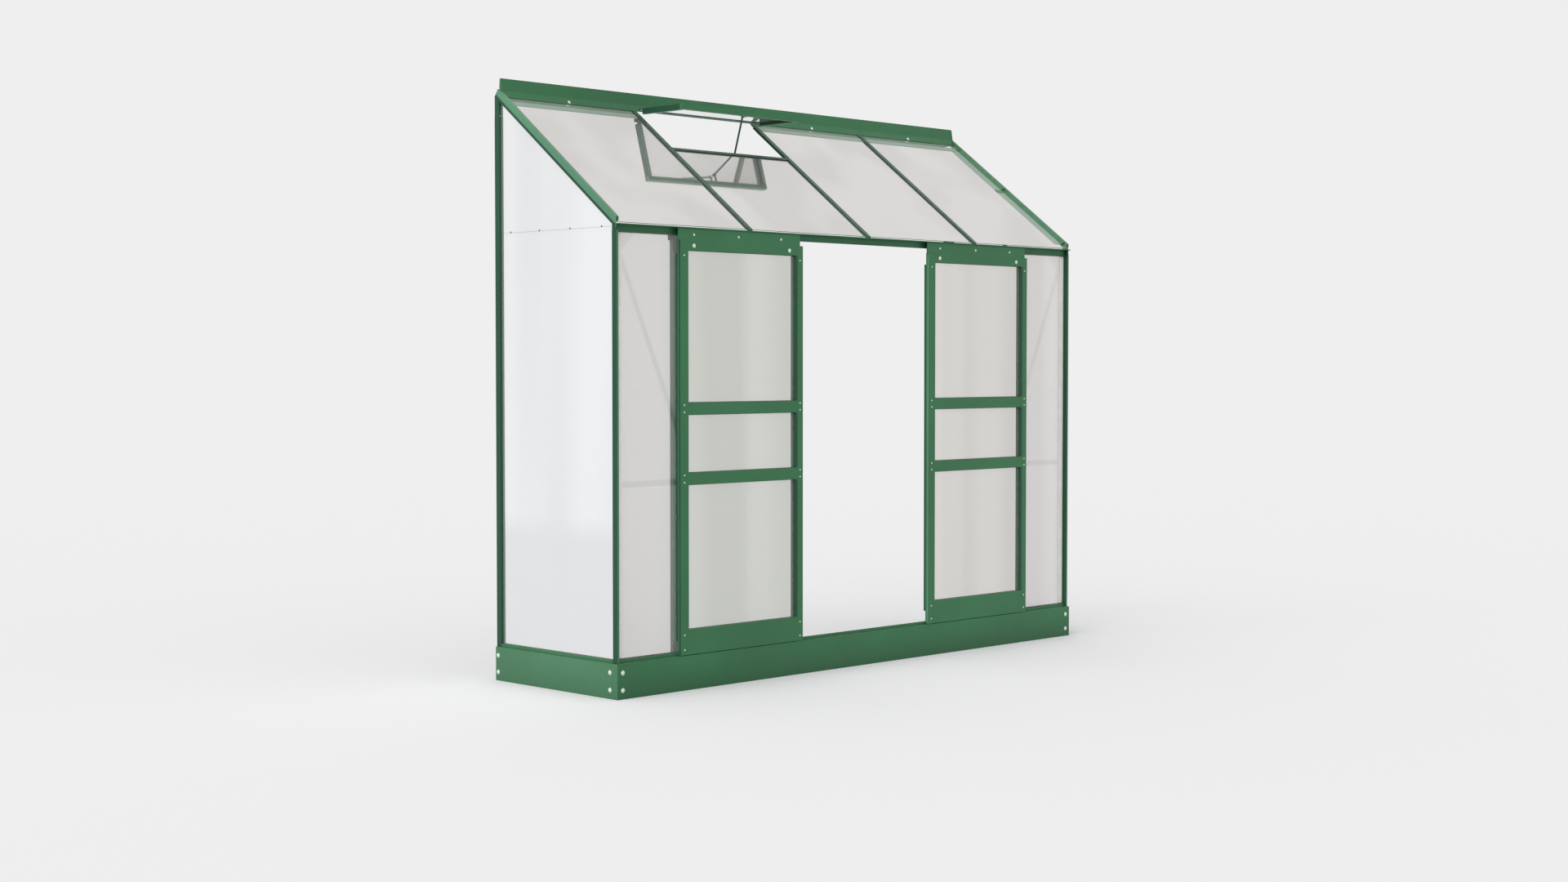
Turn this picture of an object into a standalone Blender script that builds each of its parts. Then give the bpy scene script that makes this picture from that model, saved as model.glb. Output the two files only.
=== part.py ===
"""Lean-to greenhouse: aluminium frame on a steel plinth, two sliding doors and a roof vent.

Units are metres, +Z is up, and the wall side faces +Y.  The model is drawn from the plane of
the front posts (y = 0) backwards, and one parent empty then centres it on the ground.
"""

import math

import bmesh
import bpy
from mathutils import Matrix, Vector

# ---- Overall sizes ------------------------------------------------------------------------
WIDTH = 2.570                  # over the corner posts
DEPTH = 0.688                  # from the face of the front posts to the wall
RIDGE_TOP = 2.236
RIDGE_PLATE = (2.178, 2.222)   # lower and upper edge of the ridge's plate on the wall
RIDGE_PLATE_END = 0.040        # how far the plate stays clear of the ends
EAVE_LIP = 0.012               # how far the eave rail stands in front of the posts
BAYS = 4
PITCH = WIDTH / BAYS
HALF = WIDTH / 2

WALL = 0.002                   # wall thickness of the aluminium sections
GLASS = 0.003
GAP = 0.0003                   # between pieces that touch

# ---- Plinth and sills ---------------------------------------------------------------------
PLINTH_HEIGHT = 0.126
PLINTH_SHEET = 0.0015
PLINTH_OUTSET = 0.006          # plinth face in front of the posts
PLINTH_RETURN = 0.030
SILL_BASE = PLINTH_HEIGHT + 0.0005
SILL_LIP_TOP = 0.1385
GLASS_FOOT = SILL_BASE + WALL + GAP

# ---- Posts and walls (e is the distance in from the end of the greenhouse) ------------------
POST_BOX = 0.009               # width of the corner box on the front
POST_DEPTH = 0.024             # width of the corner box on the gable
POST_FOOT = PLINTH_HEIGHT + GAP
POST_TOP = 1.653
FRONT_GLASS_Y = 0.0205
GABLE_GLASS_E = 0.010
REAR_POST_Y = 0.662            # front edge of the rear posts
REAR_FLANGE_TOP = 2.0965
GABLE_RAIL_Z = 1.664

# ---- Eave rail and door track ---------------------------------------------------------------
EAVE_TOP = 1.6725
EAVE_BACK = 0.0237
FASCIA_Y = 0.0155
TRACK_BOTTOM = 1.6445
TRACK_FRONT = 0.0088

# ---- Roof: s runs up the slope, v stands square to it, v = 0 is the top of the glass ----------
ROOF_FOOT_Z = 1.680            # height of the roof glass over the front plane
ROOF_ANGLE = math.atan2(3, 4)
CAP_TOP_V = 0.0052             # top of the glazing bar caps
CAP_HALF = 0.010
BAR_TOP_S = 0.780
RAFTER_TOP_V = 0.0128
RAFTER_BOTTOM_V = -0.0206
RAFTER_WIDTH = 0.012
RAFTER_FOOT_S = -0.010
RAFTER_FOOT_Y = 0.0015         # the rafters' feet are cut upright here
RAFTER_HEAD_S = 0.844
LEDGE_TOP_V = -GLASS - GAP
LEDGE_BOTTOM_V = LEDGE_TOP_V - WALL
GLASS_FOOT_S = -0.0035
GLASS_HEAD_S = 0.815

CENTRE_Y = -(DEPTH - EAVE_LIP) / 2

# ---- Roof vent: a runs from the hinge axis to the free edge, b stands square to the vent ------
VENT_BAY = 2
VENT_AXIS_Y = 0.612
VENT_AXIS_V = 0.0182
VENT_HALF = PITCH / 2 - 0.002
VENT_LENGTH = 0.252
VENT_TOP_B = 0.010
VENT_BOTTOM_B = -0.012
VENT_RAIL = 0.020              # width of the vent's rails
VENT_SILL_A = 0.240            # sill bar under the free edge of the closed vent
STAY_A, STAY_B = 0.210, -0.008
STAY_FOOT_Y, STAY_FOOT_Z = 0.450, 2.000
STAY_X = 0.036                 # the stay stands this far right of the middle of the vent
STAY_RADIUS = 0.0038
STAY_EYE_RADIUS = 0.0062

# ---- Sliding doors: x from the left edge of the door, both doors are alike --------------------
DOOR_WIDTH = 0.628
DOOR_LEFT_X = 0.2945           # left edges of the doors as they stand, from the left end
DOOR_RIGHT_X = 1.6460
DOOR_FACE_Y = -0.007
DOOR_BACK_Y = 0.008
DOOR_FOOT = 0.1285
DOOR_TOP = 1.6690
STILE_WIDTH = 0.040
STILE_TOP = 1.6256
KICK_TOP = 0.2203
LOWER_RAIL = (0.744, 0.788)
UPPER_RAIL = (0.9975, 1.0415)
HEADER_FOOT = 1.5893
HEADER_TOP = 1.6685
HEADER_LEFT = -0.010           # the front plate of the header reaches past the left edge
HEADER_SHORT = 0.016           # and ends this far short of the right edge
HANGER_Y = 0.0060              # front of the plate that hangs the door, behind its header
HANGER_SHORT = 0.0025          # the plate ends this far short of the door's edges
PANE_FRONT_Y = 0.0045
PANE_LAP = 0.010               # the panes reach this far behind the rails
ROLLER_X = (0.0680, 0.5560)
ROLLER_RADIUS = 0.011
ROLLER_Z = TRACK_BOTTOM + WALL + GAP + ROLLER_RADIUS
ROLLER_FRONT_Y = 0.0094
ROLLER_BACK_Y = 0.0148
STUD_RADIUS = 0.0020
BORE_RADIUS = 0.0023

COLOURS = {
    "frame": ((0.045, 0.150, 0.075, 1), 0.40, 0.1),
    "plinth": ((0.045, 0.145, 0.072, 1), 0.45, 0.2),
    "glass": ((0.75, 0.80, 0.79, 1), 0.05, 0.0),
    "zinc": ((0.62, 0.66, 0.62, 1), 0.35, 0.9),
    "nylon": ((0.06, 0.06, 0.06, 1), 0.50, 0.0),
}

PARTS = "lean_to_greenhouse"
CUTTERS = "cutters"

# Axes for extrusions.  Each places an outline's two directions and its length.
ALONG_X = Matrix(((0, 0, 1), (1, 0, 0), (0, 1, 0))).to_4x4()
ALONG_Y = Matrix(((1, 0, 0), (0, 0, -1), (0, 1, 0))).to_4x4()
SLOPE_UP = Vector((0, math.cos(ROOF_ANGLE), math.sin(ROOF_ANGLE)))
SLOPE_OUT = Vector((0, -math.sin(ROOF_ANGLE), math.cos(ROOF_ANGLE)))
DOWN_SLOPE = Matrix((Vector((1, 0, 0)), SLOPE_OUT, -SLOPE_UP)).transposed().to_4x4()
ACROSS_SLOPE = Matrix((SLOPE_UP, SLOPE_OUT, Vector((1, 0, 0)))).transposed().to_4x4()


# ---- Scene and materials ----------------------------------------------------------------------
def clear_scene():
    """Remove every object, and make the collections for the parts and the cutters."""
    for old in list(bpy.data.objects):
        bpy.data.objects.remove(old, do_unlink=True)
    for name in (PARTS, CUTTERS):
        collection = bpy.data.collections.new(name)
        bpy.context.scene.collection.children.link(collection)


def material(name):
    """Return the named Principled material, made on first use."""
    found = bpy.data.materials.get(name)
    if found:
        return found
    colour, roughness, metallic = COLOURS[name]
    made = bpy.data.materials.new(name)
    made.use_nodes = True
    shader = made.node_tree.nodes["Principled BSDF"]
    shader.inputs["Base Color"].default_value = colour
    shader.inputs["Roughness"].default_value = roughness
    shader.inputs["Metallic"].default_value = metallic
    return made


def add_empty(name, location, parent=None):
    """An empty that carries the pieces of one body."""
    empty = bpy.data.objects.new(name, None)
    bpy.data.collections[PARTS].objects.link(empty)
    empty.parent = parent
    empty.location = location
    return empty


def add_object(name, data, parent, matrix, finish, group=PARTS):
    """Link an object to its group under its parent, and give it its finish."""
    made = bpy.data.objects.new(name, data)
    bpy.data.collections[group].objects.link(made)
    made.parent = parent
    made.matrix_local = matrix
    data.materials.append(material(finish))
    if group == CUTTERS:
        made.hide_render = True
        made.display_type = "WIRE"
    return made


# ---- Shapes -----------------------------------------------------------------------------------
def folded(face, thickness=WALL):
    """Outline of a folded strip: face is one side, the other lies to its left."""
    other = []
    for index, point in enumerate(face):
        normals = []
        for start, end in ((index - 1, index), (index, index + 1)):
            if start < 0 or end >= len(face):
                continue
            run = Vector(face[end]) - Vector(face[start])
            normals.append(Vector((-run.y, run.x)).normalized())
        first, last = normals[0], normals[-1]
        mitre = (first + last) / (1 + first.dot(last))
        other.append(tuple(Vector(point) + mitre * thickness))
    return list(face) + other[::-1]


def extrusion(name, outline, length, parent, matrix, finish="frame", group=PARTS):
    """A flat outline drawn out to a length, centred on the matrix."""
    curve = bpy.data.curves.new(name, "CURVE")
    curve.dimensions = "2D"
    curve.fill_mode = "BOTH"
    curve.extrude = length / 2
    spline = curve.splines.new("POLY")
    spline.points.add(len(outline) - 1)
    for point, (u, v) in zip(spline.points, outline):
        point.co = (u, v, 0, 1)
    spline.use_cyclic_u = True
    return add_object(name, curve, parent, matrix, finish, group)


def box(name, low, high, parent, finish="frame", group=PARTS, axes=None):
    """A block between two corners, turned by axes if given."""
    low, high = Vector(low), Vector(high)
    mesh = bpy.data.meshes.new(name)
    shape = bmesh.new()
    bmesh.ops.create_cube(shape, size=1.0)
    bmesh.ops.scale(shape, vec=high - low, verts=shape.verts)
    bmesh.ops.translate(shape, vec=(low + high) / 2, verts=shape.verts)
    shape.to_mesh(mesh)
    shape.free()
    return add_object(name, mesh, parent, axes or Matrix.Identity(4), finish, group)


def cylinder(name, radius, start, end, parent, finish="zinc", group=PARTS, sides=24):
    """A round bar from one point to another."""
    start, end = Vector(start), Vector(end)
    mesh = bpy.data.meshes.new(name)
    shape = bmesh.new()
    bmesh.ops.create_cone(shape, cap_ends=True, segments=sides, radius1=radius,
                          radius2=radius, depth=(end - start).length)
    shape.to_mesh(mesh)
    shape.free()
    mesh.shade_smooth()
    mesh.set_sharp_from_angle(angle=math.radians(40))
    turn = Vector((0, 0, 1)).rotation_difference(end - start).to_matrix().to_4x4()
    matrix = Matrix.Translation((start + end) / 2) @ turn
    return add_object(name, mesh, parent, matrix, finish, group)


def as_mesh(piece):
    """Turn a curve object into a welded mesh object of the same name and place."""
    bpy.context.view_layer.update()
    name, parent, matrix = piece.name, piece.parent, piece.matrix_local.copy()
    finish, group = piece.data.materials[0].name, piece.users_collection[0].name
    evaluated = piece.evaluated_get(bpy.context.evaluated_depsgraph_get())
    mesh = bpy.data.meshes.new_from_object(evaluated)
    bpy.data.objects.remove(piece, do_unlink=True)
    shape = bmesh.new()
    shape.from_mesh(mesh)
    bmesh.ops.remove_doubles(shape, verts=shape.verts, dist=1e-6)
    shape.to_mesh(mesh)
    shape.free()
    mesh.materials.clear()
    return add_object(name, mesh, parent, matrix, finish, group)


def combine(piece, other, operation):
    """Join another solid to a piece, or cut it away."""
    modifier = piece.modifiers.new(f"{operation.lower()}_{other.name}", "BOOLEAN")
    modifier.operation = operation
    modifier.solver = "EXACT"
    modifier.object = other


def end_x(side, e):
    """X of a place e in from the left end (side -1) or the right end (side 1)."""
    return side * (HALF - e)


def line_x(index):
    """X of the line between two bays."""
    return -HALF + index * PITCH


def roof_point(x, s, v):
    """A point of the roof, s up the slope and v out from the glass."""
    return Vector((x, 0, ROOF_FOOT_Z)) + SLOPE_UP * s + SLOPE_OUT * v


def roof_matrix(axes, x, s, v=0.0):
    return Matrix.Translation(roof_point(x, s, v)) @ axes


# ---- Plinth, sills and posts --------------------------------------------------------------------
def plinth(root):
    """Three folded sheets.  The side sheets' webs close the corners at the front."""
    outer = -PLINTH_OUTSET
    channel = folded(((PLINTH_RETURN, PLINTH_HEIGHT), (outer, PLINTH_HEIGHT),
                      (outer, 0), (PLINTH_RETURN, 0)), PLINTH_SHEET)
    length = WIDTH + 2 * (PLINTH_OUTSET - PLINTH_SHEET - GAP)
    extrusion("plinth_front", channel, length, root, ALONG_X, "plinth")
    for side, name in ((-1, "left"), (1, "right")):
        outline = [(end_x(side, e), z) for e, z in channel]
        middle = Matrix.Translation((0, (DEPTH + outer) / 2, 0))
        sheet = extrusion(f"plinth_{name}", outline, DEPTH - outer, root,
                          middle @ ALONG_Y, "plinth")
        sheet = as_mesh(sheet)
        corner = sorted((end_x(side, outer + PLINTH_SHEET + 0.0001), end_x(side, 0.05)))
        cutter = box(f"plinth_corner_{name}", (corner[0], outer - 0.01, -0.01),
                     (corner[1], PLINTH_RETURN + GAP, PLINTH_HEIGHT + 0.01),
                     root, "plinth", CUTTERS)
        combine(sheet, cutter, "DIFFERENCE")


def sills(root):
    """Angles on the plinth.  The front one also guides the feet of the doors."""
    guide_y = 0.010
    front = folded(((guide_y, SILL_LIP_TOP), (guide_y, SILL_BASE), (EAVE_BACK, SILL_BASE)))
    extrusion("sill_front", front, WIDTH - 2 * (POST_BOX + GAP), root, ALONG_X)
    start, end = POST_DEPTH + WALL + GAP, REAR_POST_Y - GAP
    side_outline = folded(((0.0005, SILL_LIP_TOP), (0.0005, SILL_BASE), (0.0132, SILL_BASE)))
    for side, name in ((-1, "left"), (1, "right")):
        outline = [(end_x(side, e), z) for e, z in side_outline]
        middle = Matrix.Translation((0, (start + end) / 2, 0))
        extrusion(f"sill_{name}", outline, end - start, root, middle @ ALONG_Y)


def front_posts(root):
    """Corner channels with one flange behind the front glass and one behind the gable glass."""
    flange = POST_DEPTH + WALL
    inner = GABLE_GLASS_E + GLASS + 0.0005
    plan = ((0, 0), (POST_BOX, 0), (POST_BOX, POST_DEPTH), (0.030, POST_DEPTH),
            (0.030, flange), (inner + WALL, flange), (inner + WALL, 0.045), (inner, 0.045),
            (inner, flange), (POST_BOX - WALL, flange), (POST_BOX - WALL, WALL),
            (WALL, WALL), (WALL, POST_DEPTH), (0, POST_DEPTH))
    for side, name in ((-1, "left"), (1, "right")):
        outline = [(end_x(side, e), y) for e, y in plan]
        middle = Matrix.Translation((0, 0, (POST_FOOT + POST_TOP) / 2))
        extrusion(f"post_front_{name}", outline, POST_TOP - POST_FOOT, root, middle)


def rear_posts(root):
    """Wall posts.  A tongue carries the outer web up to the rafter."""
    inner = GABLE_GLASS_E + GLASS + 0.0005
    plan = ((0, REAR_POST_Y), (inner, REAR_POST_Y), (inner, 0.640), (inner + WALL, 0.640),
            (inner + WALL, REAR_POST_Y + WALL), (WALL, REAR_POST_Y + WALL),
            (WALL, DEPTH - WALL), (0.030, DEPTH - WALL), (0.030, DEPTH), (0, DEPTH))
    slope = math.tan(ROOF_ANGLE)
    rafter_foot = ROOF_FOOT_Z + RAFTER_BOTTOM_V / math.cos(ROOF_ANGLE) - GAP
    front, back = REAR_POST_Y + 0.0005, DEPTH - 0.0005
    tongue = ((front, 2.05), (back, 2.05), (back, rafter_foot + back * slope),
              (front, rafter_foot + front * slope))
    for side, name in ((-1, "left"), (1, "right")):
        outline = [(end_x(side, e), y) for e, y in plan]
        middle = Matrix.Translation((0, 0, (POST_FOOT + REAR_FLANGE_TOP) / 2))
        post = extrusion(f"post_rear_{name}", outline, REAR_FLANGE_TOP - POST_FOOT,
                         root, middle)
        place = Matrix.Translation((end_x(side, WALL / 2), 0, 0)) @ ALONG_X
        top = extrusion(f"post_tongue_{name}", tongue, WALL * 0.7, root, place,
                        "frame", CUTTERS)
        combine(as_mesh(post), as_mesh(top), "UNION")


def jambs(root):
    """T bars at the sides of the doorway, which hold the fixed panes."""
    rib, plate, back = WALL * 0.75, 0.018, POST_DEPTH + WALL
    front = FASCIA_Y + WALL + 0.0005
    outline = ((-plate, back), (-plate, POST_DEPTH), (-rib, POST_DEPTH), (-rib, front),
               (rib, front), (rib, POST_DEPTH), (plate, POST_DEPTH), (plate, back))
    top = EAVE_TOP - WALL - GAP
    for index, name in ((1, "left"), (BAYS - 1, "right")):
        place = Matrix.Translation((line_x(index), 0, (GLASS_FOOT + top) / 2))
        extrusion(f"jamb_{name}", outline, top - GLASS_FOOT, root, place)


def gable_rails(root):
    """Angles behind the joint between the lower and the upper gable glass."""
    inner = GABLE_GLASS_E + GLASS + 0.0005
    low, high = GABLE_RAIL_Z - 0.010, GABLE_RAIL_Z + 0.010
    section = folded(((inner, high), (inner, low), (0.030, low)))
    start, end = 0.0455, 0.6395
    for side, name in ((-1, "left"), (1, "right")):
        outline = [(end_x(side, e), z) for e, z in section]
        middle = Matrix.Translation((0, (start + end) / 2, 0))
        extrusion(f"gable_rail_{name}", outline, end - start, root, middle @ ALONG_Y)


# ---- Eave, ridge and roof -----------------------------------------------------------------------
def eave_rail(root):
    """Eave section: drip lip, fascia and the track that the door rollers run on."""
    top, under = EAVE_TOP, EAVE_TOP - WALL
    lip, back, foot = -EAVE_LIP, FASCIA_Y + WALL, TRACK_BOTTOM
    outline = ((lip, top), (lip, top - 0.0035), (lip + WALL, top - 0.0035),
               (lip + WALL, under), (FASCIA_Y, under), (FASCIA_Y, foot + WALL),
               (TRACK_FRONT, foot + WALL), (TRACK_FRONT, foot), (back, foot),
               (back, under), (EAVE_BACK, under), (EAVE_BACK, top))
    extrusion("eave_rail", outline, WIDTH - 2 * (POST_BOX + GAP), root, ALONG_X)


def ridge_rail(root):
    """Wall section: a face that stands on the head of the glass, and a plate on the wall."""
    foot, top = RIDGE_PLATE
    face = ((0.6430, 2.1655), (0.6560, 2.1900), (0.6610, RIDGE_TOP), (0.6665, RIDGE_TOP),
            (0.6700, top), (DEPTH, top), (DEPTH, foot))
    end = GABLE_GLASS_E + GLASS + GAP
    rail = extrusion("ridge_rail", folded(face[::-1]), WIDTH - 2 * end, root, ALONG_X)
    rail = as_mesh(rail)
    for side, name in ((-1, "left"), (1, "right")):
        span = sorted((end_x(side, 0), end_x(side, RIDGE_PLATE_END)))
        cutter = box(f"ridge_plate_end_{name}", (span[0], 0.6705, foot - 0.01),
                     (span[1], DEPTH + 0.01, top + 0.01), root, "frame", CUTTERS)
        combine(rail, cutter, "DIFFERENCE")


def rafters(root):
    """End rafters: a channel over the edge of the roof, with a ledge under the glass."""
    outer = ((0, RAFTER_BOTTOM_V), (0, RAFTER_TOP_V), (RAFTER_WIDTH, RAFTER_TOP_V),
             (RAFTER_WIDTH, GAP), (RAFTER_WIDTH - WALL, GAP),
             (RAFTER_WIDTH - WALL, RAFTER_TOP_V - WALL), (WALL, RAFTER_TOP_V - WALL),
             (WALL, RAFTER_BOTTOM_V))
    ledge = ((WALL / 2, LEDGE_BOTTOM_V), (WALL / 2, LEDGE_TOP_V),
             (0.024, LEDGE_TOP_V), (0.024, LEDGE_BOTTOM_V))
    middle = (RAFTER_FOOT_S + RAFTER_HEAD_S) / 2
    foot, head = 0.002, BAR_TOP_S
    for side, name in ((-1, "left"), (1, "right")):
        channel = [(end_x(side, e), v) for e, v in outer]
        rafter = extrusion(f"rafter_{name}", channel, RAFTER_HEAD_S - RAFTER_FOOT_S, root,
                           roof_matrix(DOWN_SLOPE, 0, middle))
        shelf = extrusion(f"rafter_ledge_{name}", [(end_x(side, e), v) for e, v in ledge],
                          head - foot, root, roof_matrix(DOWN_SLOPE, 0, (foot + head) / 2),
                          "frame", CUTTERS)
        rafter = as_mesh(rafter)
        combine(rafter, as_mesh(shelf), "UNION")
        span = sorted((end_x(side, -0.01), end_x(side, 0.03)))
        cutter = box(f"rafter_foot_{name}", (span[0], -0.03, 1.64),
                     (span[1], RAFTER_FOOT_Y, 1.70), root, "frame", CUTTERS)
        combine(rafter, cutter, "DIFFERENCE")


def roof_bars(root):
    """Glazing bars: cap over the glass, flange under it, and a web that clears the eave."""
    neck, flange, cap_foot = WALL, 0.011, CAP_TOP_V - WALL
    edge = cap_foot - 0.0005
    section = ((-CAP_HALF, edge), (-neck, cap_foot), (-neck, LEDGE_TOP_V),
               (-flange, LEDGE_TOP_V), (-flange, LEDGE_BOTTOM_V), (flange, LEDGE_BOTTOM_V),
               (flange, LEDGE_TOP_V), (neck, LEDGE_TOP_V), (neck, cap_foot),
               (CAP_HALF, edge), (CAP_HALF, CAP_TOP_V), (-CAP_HALF, CAP_TOP_V))
    web = ((-0.001, -0.0110), (0.001, -0.0110), (0.001, -0.0043), (-0.001, -0.0043))
    foot, web_foot, web_head = 0.002, 0.060, 0.764
    for index in range(1, BAYS):
        x = line_x(index)
        bar = extrusion(f"roof_bar_{index}", section, BAR_TOP_S - foot, root,
                        roof_matrix(DOWN_SLOPE, x, (foot + BAR_TOP_S) / 2))
        fin = extrusion(f"roof_web_{index}", web, web_head - web_foot, root,
                        roof_matrix(DOWN_SLOPE, x, (web_foot + web_head) / 2),
                        "frame", CUTTERS)
        combine(as_mesh(bar), as_mesh(fin), "UNION")


def vent_sill_s():
    """Place of the vent's sill bar up the slope."""
    axis_s = (VENT_AXIS_Y + VENT_AXIS_V * math.sin(ROOF_ANGLE)) / math.cos(ROOF_ANGLE)
    return axis_s - VENT_SILL_A


def vent_sill(root):
    """Bar across the vent's bay, with the peg that the stay stands on."""
    x, s = line_x(VENT_BAY - 0.5), vent_sill_s()
    outline = ((-0.008, 0.0045), (-0.008, 0.0022), (-0.001, 0.0025), (-0.001, -0.0035),
               (-0.014, -0.0035), (-0.014, -0.0055), (-0.001, -0.0055), (-0.001, -0.010),
               (0.001, -0.010), (0.001, 0.0025), (0.006, 0.0022), (0.006, 0.0045))
    bar = extrusion("vent_sill", outline, PITCH - 0.023, root,
                    roof_matrix(ACROSS_SLOPE, x, s))
    web = roof_point(x, s, -0.006)
    peg_x = x + STAY_X + 0.0045
    peg = box("vent_sill_peg", (peg_x, web.y - 0.0003, web.z - 0.003),
              (peg_x + 0.004, STAY_FOOT_Y + 0.007, web.z + 0.003), root, "frame", CUTTERS)
    combine(as_mesh(bar), peg, "UNION")


# ---- Fixed glass ----------------------------------------------------------------------------------
def fixed_glass(root):
    """Panes of the front, the gables and the roof."""
    top = EAVE_TOP - WALL - GAP
    for side, name in ((-1, "left"), (1, "right")):
        ends = sorted((end_x(side, POST_BOX + 0.0005), end_x(side, PITCH - WALL)))
        box(f"front_glass_{name}", (ends[0], FRONT_GLASS_Y, GLASS_FOOT),
            (ends[1], FRONT_GLASS_Y + GLASS, top), root, "glass")
        ends = sorted((end_x(side, GABLE_GLASS_E), end_x(side, GABLE_GLASS_E + GLASS)))
        front, back = POST_DEPTH + 0.0025, REAR_POST_Y - 0.0005
        joint = GABLE_RAIL_Z - 0.001
        box(f"gable_glass_lower_{name}", (ends[0], front, GLASS_FOOT),
            (ends[1], back, joint), root, "glass")
        rise = ROOF_FOOT_Z + (LEDGE_BOTTOM_V - 0.0005) / math.cos(ROOF_ANGLE)
        slope = math.tan(ROOF_ANGLE)
        foot = joint + 2 * GAP
        outline = ((front, foot), (back, foot), (back, rise + back * slope),
                   (front, rise + front * slope))
        place = Matrix.Translation((sum(ends) / 2, 0, 0)) @ ALONG_X
        extrusion(f"gable_glass_upper_{name}", outline, GLASS, root, place, "glass")
    for bay in range(1, BAYS + 1):
        low = line_x(bay - 1) + (0.004 if bay == 1 else 0.0025)
        high = line_x(bay) - (0.004 if bay == BAYS else 0.0025)
        head = vent_sill_s() - 0.0015 if bay == VENT_BAY else GLASS_HEAD_S
        middle = roof_matrix(DOWN_SLOPE, (low + high) / 2, (GLASS_FOOT_S + head) / 2,
                             -GLASS / 2)
        half = Vector(((high - low) / 2, GLASS / 2, (head - GLASS_FOOT_S) / 2))
        box(f"roof_glass_{bay}", -half, half, root, "glass", axes=middle)


# ---- Roof vent ------------------------------------------------------------------------------------
def vent_outline(turn):
    """Section of a vent rail: web at zero, cap over the glass, ledge under it, foot flange."""
    cap, ledge, top, bottom = 0.014, 0.016, VENT_TOP_B, VENT_BOTTOM_B
    points = ((0, bottom), (0, top), (cap, top), (cap, top - WALL), (WALL, top - WALL),
              (WALL, 0.004), (ledge, 0.004), (ledge, 0.002), (WALL, 0.002),
              (WALL, bottom + WALL), (ledge - 0.0005, bottom + WALL), (ledge - 0.0005, bottom))
    return [(turn * u, v) for u, v in points]


def hinge_outline():
    """Section of the vent's hinge rail, a slim channel round the edge of the glass."""
    lap, top, foot = -0.014, VENT_TOP_B, 0.002
    return ((0, foot), (0, top), (lap, top), (lap, top - WALL), (-WALL, top - WALL),
            (-WALL, foot + WALL), (lap - 0.0005, foot + WALL), (lap - 0.0005, foot))


def vent(root):
    """The vent as it stands, level, on its hinge axis, with its stay."""
    x = line_x(VENT_BAY - 0.5)
    axis_z = ROOF_FOOT_Z + VENT_AXIS_Y * math.tan(ROOF_ANGLE)
    axis_z += VENT_AXIS_V / math.cos(ROOF_ANGLE)
    hinge = add_empty("vent_axis", (x, VENT_AXIS_Y, axis_z), root)
    back = 0.004
    place = Matrix.Translation((0, back, 0)) @ ALONG_X
    extrusion("vent_hinge_rail", hinge_outline(), 2 * VENT_HALF, hinge, place)
    place = Matrix.Translation((0, -VENT_LENGTH, 0)) @ ALONG_X
    rail = extrusion("vent_bottom_rail", vent_outline(1), 2 * VENT_HALF, hinge, place)
    rail = as_mesh(rail)
    lug = box("stay_lug", (STAY_X + 0.0045, -VENT_LENGTH + 0.0012, VENT_BOTTOM_B + 0.0002),
              (STAY_X + 0.0085, -STAY_A + 0.006, -0.004), hinge, "frame", CUTTERS)
    pin = cylinder("stay_pin", 0.0015, (STAY_X - 0.004, -STAY_A, STAY_B),
                   (STAY_X + 0.007, -STAY_A, STAY_B), hinge, "frame", CUTTERS, 12)
    combine(rail, lug, "UNION")
    combine(rail, pin, "UNION")
    start, end = -(VENT_RAIL - 0.0015), -(VENT_LENGTH - VENT_RAIL + 0.0035)
    for side, name in ((-1, "left"), (1, "right")):
        place = Matrix.Translation((side * VENT_HALF, (start + end) / 2, 0)) @ ALONG_Y
        extrusion(f"vent_side_rail_{name}", vent_outline(-side), start - end, hinge, place)
    edge = VENT_HALF - WALL - 0.0005
    box("vent_glass", (-edge, -VENT_LENGTH + WALL + 0.0005, 0.0043),
        (edge, back - WALL - 0.0005, 0.0043 + GLASS), hinge, "glass")
    stay(hinge, axis_z)


def stay(hinge, axis_z):
    """Round stay with an eye on the vent's pin.  It stands beside the peg of the sill."""
    pivot = add_empty("stay_axis", (STAY_X, -STAY_A, STAY_B), hinge)
    foot = Vector((0, STAY_FOOT_Y - VENT_AXIS_Y + STAY_A, STAY_FOOT_Z - axis_z - STAY_B))
    rod = cylinder("vent_stay", STAY_RADIUS, foot.normalized() * 0.003, foot, pivot,
                   "zinc", PARTS, 16)
    eye = cylinder("stay_eye", STAY_EYE_RADIUS, (-0.0025, 0, 0), (0.0025, 0, 0), pivot,
                   "zinc", CUTTERS)
    bore = cylinder("stay_bore", 0.0020, (-0.006, 0, 0), (0.006, 0, 0), pivot, "zinc",
                    CUTTERS, 16)
    combine(rod, eye, "UNION")
    combine(rod, bore, "DIFFERENCE")


# ---- Sliding doors --------------------------------------------------------------------------------
def door_channel(low, high, low_back, high_back):
    """Section of a door member: face in front, with a return at each edge."""
    return folded(((high_back, high), (DOOR_FACE_Y, high), (DOOR_FACE_Y, low),
                   (low_back, low)))


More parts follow.
